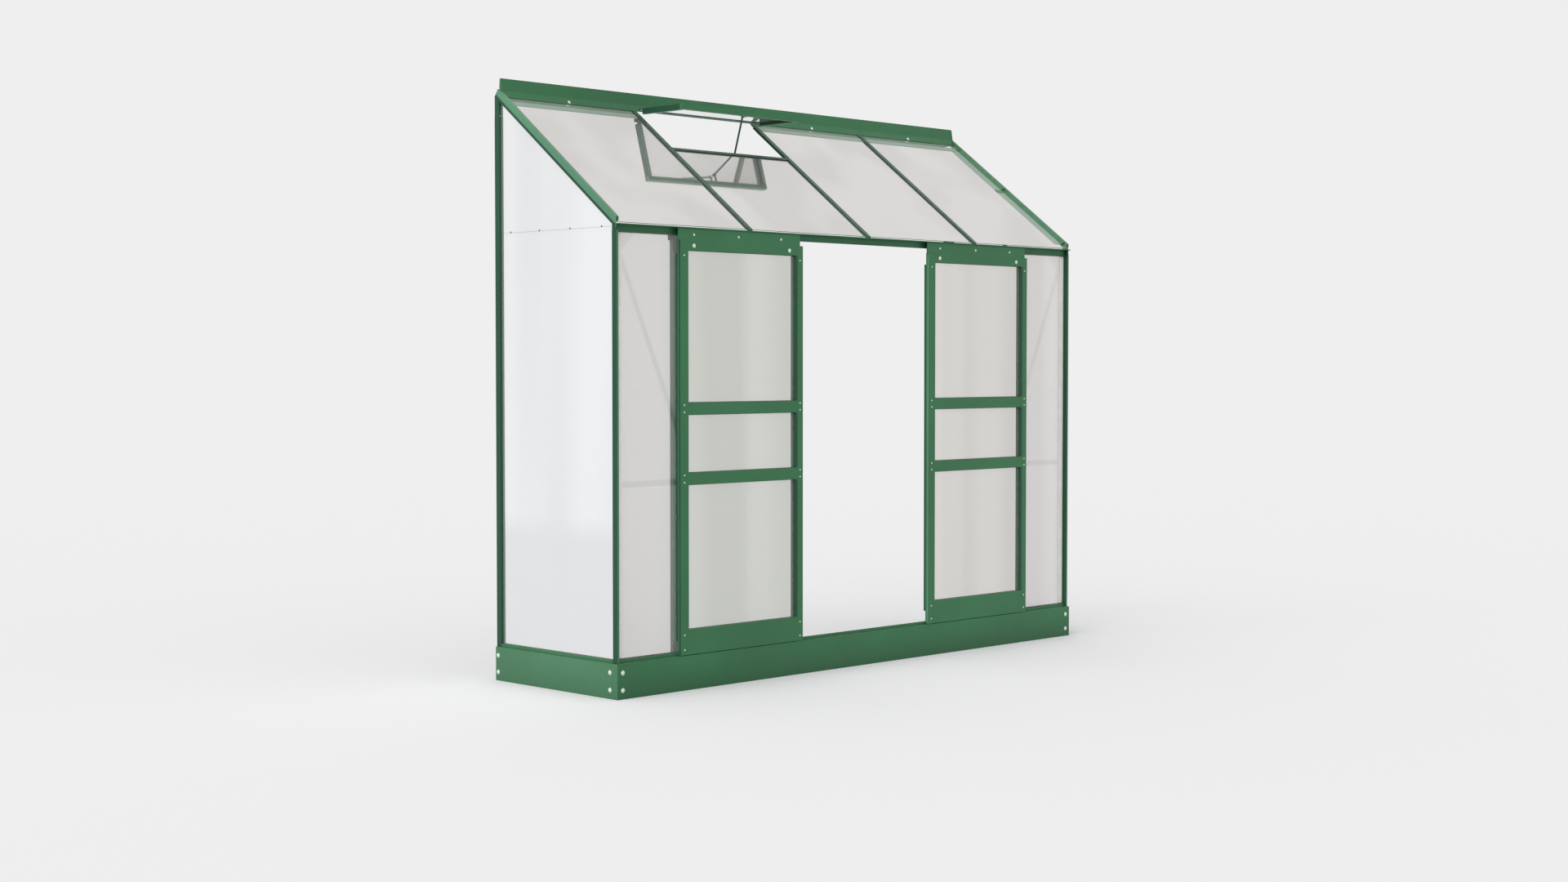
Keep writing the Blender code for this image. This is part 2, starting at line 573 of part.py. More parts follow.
def door_header(prefix, carrier):
    """Header with a return over the glass, and behind it the plate that hangs the door."""
    left, right = STILE_WIDTH + GAP, DOOR_WIDTH - STILE_WIDTH - GAP
    face, rear, step = DOOR_FACE_Y, HANGER_Y + WALL, STILE_TOP + GAP
    header = box(f"{prefix}_header", (left, face, HEADER_FOOT), (right, face + WALL, step),
                 carrier)
    boxes = (
        ("fold", (left, face + WALL / 2, HEADER_FOOT),
         (right, PANE_FRONT_Y - GAP, HEADER_FOOT + WALL)),
        ("shelf", (left, face + WALL / 2, STILE_TOP - WALL), (right, rear, step)),
        ("plate", (HEADER_LEFT, face, step - 0.0001),
         (DOOR_WIDTH - HEADER_SHORT, face + WALL, HEADER_TOP)),
        ("hanger", (HANGER_SHORT, HANGER_Y, step - 0.0001),
         (DOOR_WIDTH - HANGER_SHORT, rear, DOOR_TOP)),
    )
    for name, low, high in boxes:
        piece = box(f"{prefix}_{name}", low, high, carrier, "frame", CUTTERS)
        combine(header, piece, "UNION")
    for number, x in enumerate(ROLLER_X, 1):
        stud = cylinder(f"{prefix}_stud_{number}", STUD_RADIUS,
                        (x, HANGER_Y + WALL / 2, ROLLER_Z), (x, ROLLER_BACK_Y - GAP, ROLLER_Z),
                        carrier, "frame", CUTTERS, 16)
        combine(header, stud, "UNION")


def door_roller(prefix, carrier, name, x):
    """Nylon wheel on its stud, running on the eave track."""
    axle = add_empty(f"{prefix}_{name}_axis", (x, 0, ROLLER_Z), carrier)
    wheel = cylinder(f"{prefix}_{name}", ROLLER_RADIUS, (0, ROLLER_FRONT_Y, 0),
                     (0, ROLLER_BACK_Y, 0), axle, "nylon", PARTS, 32)
    bore = cylinder(f"{prefix}_{name}_bore", BORE_RADIUS, (0, ROLLER_FRONT_Y - 0.01, 0),
                    (0, ROLLER_BACK_Y + 0.01, 0), axle, "nylon", CUTTERS, 16)
    combine(wheel, bore, "DIFFERENCE")


def door(prefix, left_x, root):
    """One sliding door: stiles, header, two mid rails, kick plate, three panes, rollers."""
    carrier = add_empty(prefix, (left_x - HALF, 0, 0), root)
    height = STILE_TOP - DOOR_FOOT
    glass_back = PANE_FRONT_Y - GAP
    for name, turn, x in (("left", 1, 0), ("right", -1, DOOR_WIDTH)):
        face = ((0, DOOR_BACK_Y), (0, DOOR_FACE_Y), (STILE_WIDTH, DOOR_FACE_Y),
                (STILE_WIDTH, glass_back))
        outline = [(turn * u, v) for u, v in folded(face)]
        place = Matrix.Translation((x, 0, DOOR_FOOT + height / 2))
        extrusion(f"{prefix}_stile_{name}", outline, height, carrier, place)
    length = DOOR_WIDTH - 2 * (STILE_WIDTH + GAP)
    across = Matrix.Translation((DOOR_WIDTH / 2, 0, 0)) @ ALONG_X
    rails = (("kick_plate", (DOOR_FOOT, KICK_TOP), DOOR_BACK_Y),
             ("lower_rail", LOWER_RAIL, glass_back), ("upper_rail", UPPER_RAIL, glass_back))
    for name, (low, high), low_back in rails:
        extrusion(f"{prefix}_{name}", door_channel(low, high, low_back, glass_back), length,
                  carrier, across)
    door_header(prefix, carrier)
    side = STILE_WIDTH - PANE_LAP
    panes = (("lower", KICK_TOP, LOWER_RAIL[0]), ("middle", LOWER_RAIL[1], UPPER_RAIL[0]),
             ("upper", UPPER_RAIL[1], HEADER_FOOT))
    for name, low, high in panes:
        box(f"{prefix}_pane_{name}", (side, PANE_FRONT_Y, low - PANE_LAP),
            (DOOR_WIDTH - side, PANE_FRONT_Y + GLASS, high + PANE_LAP), carrier, "glass")
    for name, x in zip(("roller_left", "roller_right"), ROLLER_X):
        door_roller(prefix, carrier, name, x)


def main():
    clear_scene()
    root = add_empty("greenhouse", (0, CENTRE_Y, 0))
    plinth(root)
    sills(root)
    front_posts(root)
    rear_posts(root)
    jambs(root)
    gable_rails(root)
    eave_rail(root)
    ridge_rail(root)
    rafters(root)
    roof_bars(root)
    vent_sill(root)
    fixed_glass(root)
    vent(root)
    door("door_left", DOOR_LEFT_X, root)
    door("door_right", DOOR_RIGHT_X, root)


main()
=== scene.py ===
"""Looks of the lean-to greenhouse: materials, fixings, braces, seals, light and camera.

Metres, +Z up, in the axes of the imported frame.  A place along the front is e in from one of its
ends.  A place on the roof is s up its slope and v out from its glass.
"""

import math

import bmesh
import bpy
from mathutils import Matrix, Vector


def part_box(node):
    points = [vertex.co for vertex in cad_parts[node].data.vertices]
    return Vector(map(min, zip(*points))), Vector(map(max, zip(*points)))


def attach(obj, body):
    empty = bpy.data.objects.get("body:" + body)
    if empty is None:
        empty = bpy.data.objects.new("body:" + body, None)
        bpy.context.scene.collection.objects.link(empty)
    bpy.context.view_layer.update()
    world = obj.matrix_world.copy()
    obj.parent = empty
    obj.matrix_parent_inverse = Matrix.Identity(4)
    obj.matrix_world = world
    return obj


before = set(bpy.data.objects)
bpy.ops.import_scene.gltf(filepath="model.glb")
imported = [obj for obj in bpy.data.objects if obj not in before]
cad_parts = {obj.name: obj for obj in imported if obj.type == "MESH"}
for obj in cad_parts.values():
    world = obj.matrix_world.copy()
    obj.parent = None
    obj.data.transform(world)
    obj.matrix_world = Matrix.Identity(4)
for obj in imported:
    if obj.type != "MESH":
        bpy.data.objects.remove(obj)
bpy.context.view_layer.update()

# ---- Driving sizes: the frame's own, and the slope of its roof --------------------------------
LEFT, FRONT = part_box("post_front_left")[0][:2]
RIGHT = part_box("post_front_right")[1][0]
BACK, RIDGE_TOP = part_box("ridge_rail")[1][1:]
POST_FOOT, POST_TOP = (corner[2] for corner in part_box("post_front_left"))
PLINTH_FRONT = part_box("plinth_front")[0][1]
PLINTH_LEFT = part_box("plinth_left")[0][0]
EAVE_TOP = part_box("eave_rail")[1][2]
PITCH = (RIGHT - LEFT) / 4                      # of the four bays
ROOF_FOOT_Z = 1.680
ROOF_RISE = 3 / 4
ROOF_ANGLE = math.atan(ROOF_RISE)
SLOPE_UP = Vector((0, math.cos(ROOF_ANGLE), math.sin(ROOF_ANGLE)))
SLOPE_OUT = Vector((0, -math.sin(ROOF_ANGLE), math.cos(ROOF_ANGLE)))
FORWARD = (0, -1, 0)
DOORS = ("door_left", "door_right")
SIDES = ((-1, "left"), (1, "right"))

# ---- Sizes and places of the added pieces -----------------------------------------------------
GAP = 0.0003                                    # between pieces that touch
WALL = 0.0016                                   # of the added bars and gussets
SUNK = 0.0004                                   # how far a bolt's foot goes into its face
ROUND_SIDES = 20                                # of a turned piece
CAD_EDGE, GLASS_EDGE = 0.0004, 0.0005           # rounding of the CAD pieces
BAR_EDGE, TRIM_EDGE = 0.0003, 0.0001            # rounding of added bars and of thin trim

BEHIND_PANES = 0.0263                           # from the front of the posts
POST_INSIDE = 0.0120                            # e of the inner side of a front post
MID_RAIL_Z = 0.755
BRACE = ((0.030, 1.590), (0.6225, 0.235))       # e and height of each end
GUSSET = ((POST_INSIDE, 1.548), (POST_INSIDE, 1.642), (0.108, 1.642))
PANE_FOOT, PANE_TOP = 0.1400, 1.6440            # of the fixed panes, between sill and eave
GASKET_SPAN = (0.0122, 0.0380)                  # e of the two sides of the pale gasket

PLINTH_BOLTS_Z = (0.032, 0.094)
PLINTH_BOLTS_Y = (0.0337, 0.673)                # from the front, on the end sheets
RIDGE_BOLTS_X = (0.322, 1.642, 2.251)           # from the left end
RIDGE_FACE_AT, RIDGE_FACE_OUT = (0.6467, 2.1725), (0, -0.884, 0.469)
GABLE_SCREWS_Y = (0.091, 0.265, 0.440, 0.607)   # from the front
GABLE_JOINT_Z = 1.6655
HANGER_BOLTS_Z, HANGER_SCREWS_Z = 1.6066, 1.6460
HANGER_SCREWS_X = (0, 0.223, 0.443)             # from the left roller
STILE_RIVETS_Z = (0.1476, 0.2005, 1.571)
RAIL_RIVETS = (-0.013, 0.013)                   # from the middle of a door's rail

BESIDE_RAFTER = 0.0125                          # e of the inner side of an end rafter
BRACKET_S, RIDGE_BRACKET_S = 0.420, 0.752
BRACKET_LENGTH = 0.022

# ---- Colours (linear) -------------------------------------------------------------------------
GREEN = (0.020, 0.123, 0.045)
# Lit copy of the green paint, for faces that catch the light: painted light.
GREEN_LIT = (0.040, 0.148, 0.068)
# Brighter lit copy of the green paint: painted light.
GREEN_BRIGHT_LIT = (0.062, 0.190, 0.105)
# Shaded copy of the green paint: painted shade.
GREEN_SHADE = (0.011, 0.056, 0.029)
GREY_GREEN = (0.205, 0.295, 0.235)
DUST = (0.34, 0.36, 0.31)
ZINC = (0.60, 0.72, 0.62)
RUBBER = (0.045, 0.055, 0.050)
GASKET = (0.70, 0.70, 0.67)
NYLON, WORN_NYLON = (0.026, 0.026, 0.027), (0.045, 0.045, 0.043)
PANES = {                       # tint: the glass grey with the brightness of each pane's reflections painted in; how far one face covers what is behind it; painted darker foot, a reflection of the floor
    "glass_front_left": ((0.770, 0.760, 0.750), 0.76, 1.0),
    "glass_front_right": ((0.835, 0.815, 0.805), 0.76, 1.0),
    "glass_door_left": ((0.745, 0.755, 0.710), 0.88, 1.0),
    "glass_door_right": ((0.795, 0.775, 0.745), 0.88, 1.0),
    "glass_gable": ((0.930, 0.940, 0.950), 0.92, 1.0),
    "glass_gable_lower": ((0.930, 0.940, 0.950), 0.92, 0.92),
    "glass_roof": ((0.765, 0.750, 0.730), 0.92, 1.0),
    "glass_vent": ((0.98, 0.99, 0.98), 0.92, 1.0),
}

# ---- Studio -----------------------------------------------------------------------------------
BACKDROP = (0.863, 0.863, 0.863)
FLOOR = (0.70, 0.70, 0.705)
LIGHT_FROM = (-0.80, -0.22, 0.55)
CAMERA_AT = (-6.263, -6.136, 1.189)
CAMERA_YAW = math.radians(45.04)
CAMERA_PITCH = math.radians(2.086)


def end_x(side, e):
    """X of a place e in from the left end (side -1) or the right end (side 1)."""
    return RIGHT - e if side > 0 else LEFT + e


def line_x(index):
    """X of the line between two bays."""
    return LEFT + index * PITCH


def roof_point(x, s, v):
    """A point s up the roof and v out from its glass."""
    return Vector((x, FRONT, ROOF_FOOT_Z)) + SLOPE_UP * s + SLOPE_OUT * v


def middle(node, axis):
    """Middle of a CAD node along one axis."""
    low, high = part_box(node)
    return (low[axis] + high[axis]) / 2


# ---- Materials --------------------------------------------------------------------------------
class Shader:
    """A Principled material with short ways to add the nodes that vary it."""

    def __init__(self, name, colour, roughness, metallic=0.0):
        self.material = bpy.data.materials.new(name)
        self.material.use_nodes = True
        self.tree = self.material.node_tree
        self.principled = self.tree.nodes["Principled BSDF"]
        places = self.tree.nodes.new("ShaderNodeTexCoord").outputs
        self.coords, self.generated = places["Object"], places["Generated"]
        self.set("Base Color", (*colour, 1))
        self.set("Roughness", roughness)
        self.set("Metallic", metallic)

    def set(self, socket, value):
        """Give the shader one value all over."""
        self.principled.inputs[socket].default_value = value

    def link(self, source, target):
        """Feed an input from an output."""
        self.tree.links.new(source, target)

    def noise(self, scale, detail=2.0, stretch=(1, 1, 1)):
        """Noise over the surface, with scale in waves a metre."""
        mapping = self.tree.nodes.new("ShaderNodeMapping")
        mapping.inputs["Scale"].default_value = stretch
        texture = self.tree.nodes.new("ShaderNodeTexNoise")
        texture.inputs["Scale"].default_value = scale
        texture.inputs["Detail"].default_value = detail
        self.link(self.coords, mapping.inputs["Vector"])
        self.link(mapping.outputs["Vector"], texture.inputs["Vector"])
        return texture.outputs["Fac"]

    def spread(self, source, low, high, start=0.3, end=0.7):
        """Source between start and end, spread from low to high."""
        ranged = self.tree.nodes.new("ShaderNodeMapRange")
        names = ("From Min", "From Max", "To Min", "To Max")
        for name, value in zip(names, (start, end, low, high)):
            ranged.inputs[name].default_value = value
        self.link(source, ranged.inputs["Value"])
        return ranged.outputs["Result"]

    def product(self, first, second):
        """Two sockets multiplied."""
        node = self.tree.nodes.new("ShaderNodeMath")
        node.operation = "MULTIPLY"
        self.link(first, node.inputs[0])
        self.link(second, node.inputs[1])
        return node.outputs[0]

    def mix(self, factor, first, second):
        """Colour from first to second.  Each is a colour or a socket."""
        node = self.tree.nodes.new("ShaderNodeMix")
        node.data_type = "RGBA"
        self.link(factor, node.inputs["Factor"])
        for source, target in ((first, node.inputs[6]), (second, node.inputs[7])):
            if isinstance(source, tuple):
                target.default_value = (*source, 1)
            else:
                self.link(source, target)
        return node.outputs[2]

    def axis(self, source, name):
        """One component of a vector."""
        split = self.tree.nodes.new("ShaderNodeSeparateXYZ")
        self.link(source, split.inputs["Vector"])
        return split.outputs[name]

    def bump(self, source, strength, distance):
        """Relief with distance as its height in metres."""
        node = self.tree.nodes.new("ShaderNodeBump")
        node.inputs["Strength"].default_value = strength
        node.inputs["Distance"].default_value = distance
        self.link(source, node.inputs["Height"])
        self.link(node.outputs["Normal"], self.principled.inputs["Normal"])

    def colour(self, source):
        """Take the colour from a socket."""
        self.link(source, self.principled.inputs["Base Color"])

    def roughness(self, source):
        """Take the roughness from a socket."""
        self.link(source, self.principled.inputs["Roughness"])


def scaled(colour, factor):
    """A colour made darker or lighter."""
    return tuple(channel * factor for channel in colour)


def paint(name, colour, painted_foot_shade=1.0, specular=0.4):
    """Satin powder coat: fine orange peel, faint mottling, scuffs, and dust on what faces up."""
    shader = Shader(name, colour, 0.4)
    shader.set("Specular IOR Level", specular)
    mottle = shader.spread(shader.noise(2.2, 3), 0, 1)
    coat = shader.mix(mottle, scaled(colour, 0.90), scaled(colour, 1.12))
    # Painted shade: the colour darkens towards the foot of the piece.
    if painted_foot_shade < 1.0:
        height = shader.axis(shader.generated, "Z")
        rise = shader.spread(height, 0, 1, 0.0, 0.8)
        coat = shader.mix(rise, scaled(colour, painted_foot_shade), coat)
    normal = shader.tree.nodes.new("ShaderNodeNewGeometry").outputs["Normal"]
    upward = shader.spread(shader.axis(normal, "Z"), 0, 1, 0.55, 1.0)
    specks = shader.spread(shader.noise(45, 4), 0.08, 0.32)
    dusted = shader.mix(shader.product(upward, specks), coat, DUST)
    scuffs = shader.spread(shader.noise(38, 6, (1, 1, 0.2)), 0, 0.22, 0.66, 0.80)
    shader.colour(shader.mix(scuffs, dusted, scaled(colour, 2.2)))
    shader.roughness(shader.spread(shader.noise(14, 4), 0.34, 0.47))
    shader.bump(shader.noise(1100, 1), 0.22, 0.0002)
    return shader.material


def pane_glass(name, colour, cover, painted_foot_shade):
    """Coated glass: mostly mirror, a little see-through, with faint smears and waviness."""
    shader = Shader(name, colour, 0.03, 0.86)
    shader.set("Alpha", cover)
    smear = shader.spread(shader.noise(3.4, 1, (1, 1, 0.04)), 0, 1, 0.40, 0.60)
    tone = shader.mix(smear, scaled(colour, 0.94), scaled(colour, 1.03))
    # Painted reflection: the lower part of the pane is darkened, as the floor reflected in it.
    if painted_foot_shade < 1.0:
        rise = shader.spread(shader.axis(shader.generated, "Z"), 0, 1, 0.27, 0.33)
        tone = shader.mix(rise, scaled(colour, painted_foot_shade), tone)
    shader.colour(tone)
    shader.roughness(shader.spread(shader.noise(5, 5), 0.02, 0.06))
    shader.bump(shader.noise(1.3, 0), 0.05, 0.004)
    return shader.material


def zinc():
    """Bright plated fixings with a fine grain."""
    shader = Shader("zinc", ZINC, 0.42, 0.35)
    grain = shader.spread(shader.noise(220, 3), 0, 1)
    shader.colour(shader.mix(grain, scaled(ZINC, 0.86), ZINC))
    shader.roughness(shader.spread(shader.noise(90, 3), 0.36, 0.52))
    shader.bump(shader.noise(1500, 1), 0.15, 0.0001)
    return shader.material


def rubber():
    """Dull glazing seal, greyed by dust."""
    shader = Shader("rubber", RUBBER, 0.75)
    bloom = shader.spread(shader.noise(60, 4), 0, 0.35)
    shader.colour(shader.mix(bloom, RUBBER, DUST))
    shader.roughness(shader.spread(shader.noise(80, 2), 0.65, 0.85))
    shader.bump(shader.noise(700, 1), 0.2, 0.0002)
    return shader.material


def gasket():
    """Pale glazing gasket, slightly soiled."""
    shader = Shader("gasket", GASKET, 0.6)
    soil = shader.spread(shader.noise(30, 4), 0, 0.25)
    shader.colour(shader.mix(soil, GASKET, DUST))
    shader.roughness(shader.spread(shader.noise(60, 2), 0.52, 0.70))
    shader.bump(shader.noise(800, 1), 0.12, 0.0001)
    return shader.material


def nylon():
    """Moulded black nylon."""
    shader = Shader("nylon", NYLON, 0.5)
    tone = shader.spread(shader.noise(30, 3), 0, 1)
    shader.colour(shader.mix(tone, NYLON, WORN_NYLON))
    shader.roughness(shader.spread(shader.noise(120, 2), 0.42, 0.58))
    shader.bump(shader.noise(900, 1), 0.15, 0.0001)
    return shader.material


FINISHES = {
    "paint": paint("green_paint", GREEN),
    # "side" and "pale" are lit copies of the green paint: painted light.
    "side": paint("green_paint_side", GREEN_LIT),
    "pale": paint("green_paint_pale", GREEN_BRIGHT_LIT),
    # A shaded copy of the green paint with less sheen: painted shade.
    "shade": paint("green_paint_shaded", GREEN_SHADE, specular=0.22),
    "strip": paint("glazing_strip", GREY_GREEN),
    # The plinth paints darken towards the foot: painted shade. plinth_side is also the lit copy:
    # painted light.
    "plinth": paint("green_paint_plinth", GREEN, 0.72),
    "plinth_side": paint("green_paint_plinth_side", GREEN_LIT, 0.80),
    "zinc": zinc(),
    "rubber": rubber(),
    "gasket": gasket(),
    "nylon": nylon(),
}
FINISHES.update({name: pane_glass(name, *look) for name, look in PANES.items()})
NODE_FINISHES = {
    # Plinth ends and end rafters take lit copies of the green paint (painted light); the stay takes
    # the shaded copy (painted shade).
    "plinth_front": "plinth", "plinth_left": "plinth_side", "plinth_right": "plinth_side",
    "rafter_left": "pale", "rafter_right": "side", "vent_stay": "shade",
    # The lower gable panes take the glass whose foot is darkened by a painted reflection.
    "gable_glass_lower_left": "glass_gable_lower", "gable_glass_lower_right": "glass_gable_lower",
}
# Nodes shown in the shaded copy of the green paint: painted shade.
PAINTED_SHADE_NODES = ("post_", "roof_bar", "jamb", "vent_sill", "vent_side", "vent_hinge", "gable_rail")


# ---- CAD nodes --------------------------------------------------------------------------------
def soften(obj, width, segments=2):
    """Round the edges of a piece."""
    bevel = obj.modifiers.new("soft_edges", "BEVEL")
    bevel.width = width
    bevel.segments = segments
    bevel.limit_method = "ANGLE"
    bevel.angle_limit = math.radians(50)
    bevel.harden_normals = True


def finish_of(node):
    """The finish that a CAD node is shown with."""
    if node in NODE_FINISHES:
        return NODE_FINISHES[node]
    if node.startswith(PAINTED_SHADE_NODES):
        return "shade"
    if "roller" in node:
        return "nylon"
    if "pane" in node:
        return "glass_" + "_".join(node.split("_")[:2])
    if node.startswith("front_glass"):
        return "glass_front_" + node.split("_")[-1]
    for group in ("gable", "roof", "vent"):
        if node.startswith(group) and "glass" in node:
            return "glass_" + group
    return "paint"


def dress_frame():
    """Give each CAD node its finish and softened edges."""
    for name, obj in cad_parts.items():
        finish = finish_of(name)
        obj.data.materials.clear()
        obj.data.materials.append(FINISHES[finish])
        if finish.startswith("glass"):
            obj.visible_shadow = False
            soften(obj, GLASS_EDGE, 1)
        else:
            soften(obj, CAD_EDGE)


# ---- Shapes -----------------------------------------------------------------------------------
def add_piece(name, shape, body, finish, edge=BAR_EDGE):
    """Turn a bmesh into a piece that rides on a CAD body."""
    mesh = bpy.data.meshes.new(name)
    bmesh.ops.recalc_face_normals(shape, faces=shape.faces)
    shape.to_mesh(mesh)
    shape.free()
    mesh.materials.append(FINISHES[finish])
    mesh.shade_smooth()
    mesh.set_sharp_from_angle(angle=math.radians(40))
    obj = bpy.data.objects.new(name, mesh)
    bpy.context.scene.collection.objects.link(obj)
    if edge:
        soften(obj, edge)
    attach(obj, body)


def toward(direction):
    """Turn that takes +Z to a direction."""
    return Vector((0, 0, 1)).rotation_difference(Vector(direction)).to_matrix().to_4x4()


def join_rings(shape, first, second):
    """Add the faces between two rings of as many points."""
    count = len(first)
    for step in range(count):
        after = (step + 1) % count
        shape.faces.new((first[step], first[after], second[after], second[step]))


def turned(shape, profile, at, direction):
    """Add a turned solid: profile is (radius, height) from the foot to the top."""
    matrix = Matrix.Translation(at) @ toward(direction)
    turns = [2 * math.pi * step / ROUND_SIDES for step in range(ROUND_SIDES)]
    rings = []
    for radius, height in profile:
        places = [(radius * math.cos(turn), radius * math.sin(turn), height) for turn in turns]
        rings.append([shape.verts.new(matrix @ Vector(place)) for place in places])
    for low, high in zip(rings, rings[1:]):
        join_rings(shape, low, high)
    shape.faces.new(rings[0][::-1])
    shape.faces.new(rings[-1])


def block(shape, low, high):
    """Add a box between two corners."""
    low, high = Vector(low), Vector(high)
    made = bmesh.ops.create_cube(shape, size=1.0)["verts"]
    bmesh.ops.scale(shape, vec=high - low, verts=made)
    bmesh.ops.translate(shape, vec=(low + high) / 2, verts=made)


def strut(shape, start, end, across, outline):
    """Add a bar from start to end.  Outline is (u, v): u along across, v square to both."""
    start, end = Vector(start), Vector(end)
    along = (end - start).normalized()
    across = (Vector(across) - along * along.dot(Vector(across))).normalized()
    out = along.cross(across)
    rings = [[shape.verts.new(point + across * u + out * v) for u, v in outline]
             for point in (start, end)]
    join_rings(shape, *rings)
    shape.faces.new(rings[0][::-1])
    shape.faces.new(rings[1])


def bar(name, ends, across, outline, finish="paint", edge=BAR_EDGE):
    """A piece of the frame that is one straight bar."""
    shape = bmesh.new()
    strut(shape, *ends, across, outline)
    add_piece(name, shape, "frame", finish, edge)


def handed(outline, side):
    """An outline for side 1, or its mirror image for side -1."""
    return [(u, side * v) for u, v in outline]


def flat(width):
    """Outline of a flat strip."""
    half = width / 2
    return ((-half, 0), (half, 0), (half, WALL), (-half, WALL))


def angle(width, depth):
    """Outline of an angle section."""
    return ((0, 0), (width, 0), (width, WALL), (WALL, WALL), (WALL, depth), (0, depth))


def tee(width, depth):
    """Outline of a tee section with its rib along v."""
    half, rib = width / 2, WALL / 2
    return ((-half, 0), (half, 0), (half, WALL), (rib, WALL), (rib, depth), (-rib, depth),
            (-rib, WALL), (-half, WALL))


# ---- Bars and braces behind the glass ---------------------------------------------------------
def front_bracing():
    """Mid rails, diagonal braces and corner gussets behind the fixed front panes."""
    back = FRONT + BEHIND_PANES
    for side, name in SIDES:
        ends = [(end_x(side, e), back, MID_RAIL_Z) for e in (POST_INSIDE, PITCH - 0.004)]
        bar(f"front_mid_rail_{name}", ends, (0, 0, 1), handed(flat(0.022), side))
        ends = [(end_x(side, e), back + 0.0036, z) for e, z in BRACE]
        bar(f"front_brace_{name}", ends, (1, 0, 0), flat(0.020))
        faces = [(0, back, 0), (0, back + WALL, 0)]
        bar(f"front_gusset_{name}", faces, (1, 0, 0), [(end_x(side, e), -z) for e, z in GUSSET])


def gable_bracing():
    """Centre bars behind the gable glass, below and above its joint."""
    y = (FRONT + BACK) / 2
    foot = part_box("gable_glass_lower_left")[0][2]
    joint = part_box("gable_rail_left")[0][2]
    top = ROOF_FOOT_Z + ROOF_RISE * (y - FRONT) - 0.012
    for side, name in SIDES:
        x = end_x(side, 0.015)
        section = handed(tee(0.022, 0.014), side)
        for piece, low, high in (("bar", foot, joint - 0.001), ("upper_bar", joint + 0.022, top)):
            bar(f"gable_{piece}_{name}", ((x, y, low), (x, y, high)), (0, 1, 0), section)


def rafter_brackets():
    """Angle brackets on the inner side of the end rafters, half way up and at the ridge."""
    for side, name in SIDES:
        shape = bmesh.new()
        reach = 0.060 if side > 0 else 0.017
        for s, width in ((BRACKET_S, reach), (RIDGE_BRACKET_S, 0.016)):
            foot = roof_point(end_x(side, BESIDE_RAFTER), s, 0.0004)
            head = foot + SLOPE_UP * BRACKET_LENGTH
            strut(shape, foot, head, (-side, 0, 0), handed(angle(width, 0.011), side))
        # The brackets take the lit copy of the green paint: painted light.
        add_piece(f"rafter_brackets_{name}", shape, "frame", "side")


# ---- Fixings ----------------------------------------------------------------------------------
def dome(radius, base, rise):
    """Profile of a domed head, from its rim almost to its crown."""
    turns = [math.radians(20 * step) for step in range(5)]
    return [(radius * math.cos(turn), base + rise * radius * math.sin(turn)) for turn in turns]


def bolt_profile(radius):
    """A washer under a domed head."""
    washer = radius * 1.25
    return [(washer, -SUNK), (washer, 0.0008), (radius, 0.0010)] + dome(radius, 0.0012, 0.55)


def rivet_profile(radius):
    """A low button head."""
    return [(radius, -SUNK)] + dome(radius, 0, 0.6)


def fixings(name, body, spots, finish="zinc"):
    """One piece with a group of bolts or rivets.  A spot is place, way out, profile."""
    shape = bmesh.new()
    for at, direction, profile in spots:
        turned(shape, profile, at, direction)
    add_piece(name, shape, body, finish, edge=0)


def frame_spots():
    """Bolts of the plinth and the ridge."""
    big, small = bolt_profile(0.0070), bolt_profile(0.0054)
    spots = []
    for side, _ in SIDES:
        for z in PLINTH_BOLTS_Z:
            spots.append(((end_x(side, 0.0195), PLINTH_FRONT, z), FORWARD, big))
            for y in PLINTH_BOLTS_Y:
                spots.append(((-side * PLINTH_LEFT, FRONT + y, z), (side, 0, 0), big))
    y, z = RIDGE_FACE_AT
    for x in RIDGE_BOLTS_X:
        spots.append(((LEFT + x, FRONT + y, z), RIDGE_FACE_OUT, small))
    return spots


def gable_spots():
    """Screws through the joint of the gable glass."""
    screw = rivet_profile(0.0034)
    return [((end_x(side, 0.010), FRONT + y, GABLE_JOINT_Z), (side, 0, 0), screw)
            for side, _ in SIDES for y in GABLE_SCREWS_Y]


def door_spots(door):
    """Bolts of a door's rollers and header, and the rivets of its stiles."""
    left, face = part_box(f"{door}_stile_left")[0][:2]
    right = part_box(f"{door}_stile_right")[1][0]
    roller, small, rivet = bolt_profile(0.0062), bolt_profile(0.0036), rivet_profile(0.0032)
    axles = [middle(f"{door}_roller_{side}", 0) for _, side in SIDES]
    spots = [((x, face, HANGER_BOLTS_Z), FORWARD, roller) for x in axles]
    spots += [((axles[0] + x, face, HANGER_SCREWS_Z), FORWARD, small) for x in HANGER_SCREWS_X]
    heights = list(STILE_RIVETS_Z)
    for rail in ("lower", "upper"):
        heights += [middle(f"{door}_{rail}_rail", 2) + rise for rise in RAIL_RIVETS]
    for x in (left + 0.020, right - 0.015):
        spots += [((x, face, z), FORWARD, rivet) for z in heights]
    return spots


def vent_spots():
    """Screws on the vent's bottom rail, at its ends and near its middle."""
    low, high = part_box("vent_bottom_rail")
    rivet = rivet_profile(0.0028)
    places = (low[0] + 0.012, middle("vent_bottom_rail", 0) + 0.006, high[0] - 0.012)
    return [((x, low[1], middle("vent_bottom_rail", 2)), FORWARD, rivet) for x in places]


# ---- Doors and seals --------------------------------------------------------------------------
def seal_loop(shape, y, low, high, width, height):
    """Add a rectangular ring of seal on a pane at y.  Low and high are its corners in x and z."""
    rings = []
    for inset, rise in ((0, 0), (0, height), (width, height), (width, 0)):
        left, foot = low[0] + inset, low[1] + inset
        right, top = high[0] - inset, high[1] - inset
        corners = ((left, foot), (right, foot), (right, top), (left, top))
        rings.append([shape.verts.new((x, y - rise, z)) for x, z in corners])
    for ring, after in zip(rings, rings[1:] + rings[:1]):
        join_rings(shape, ring, after)


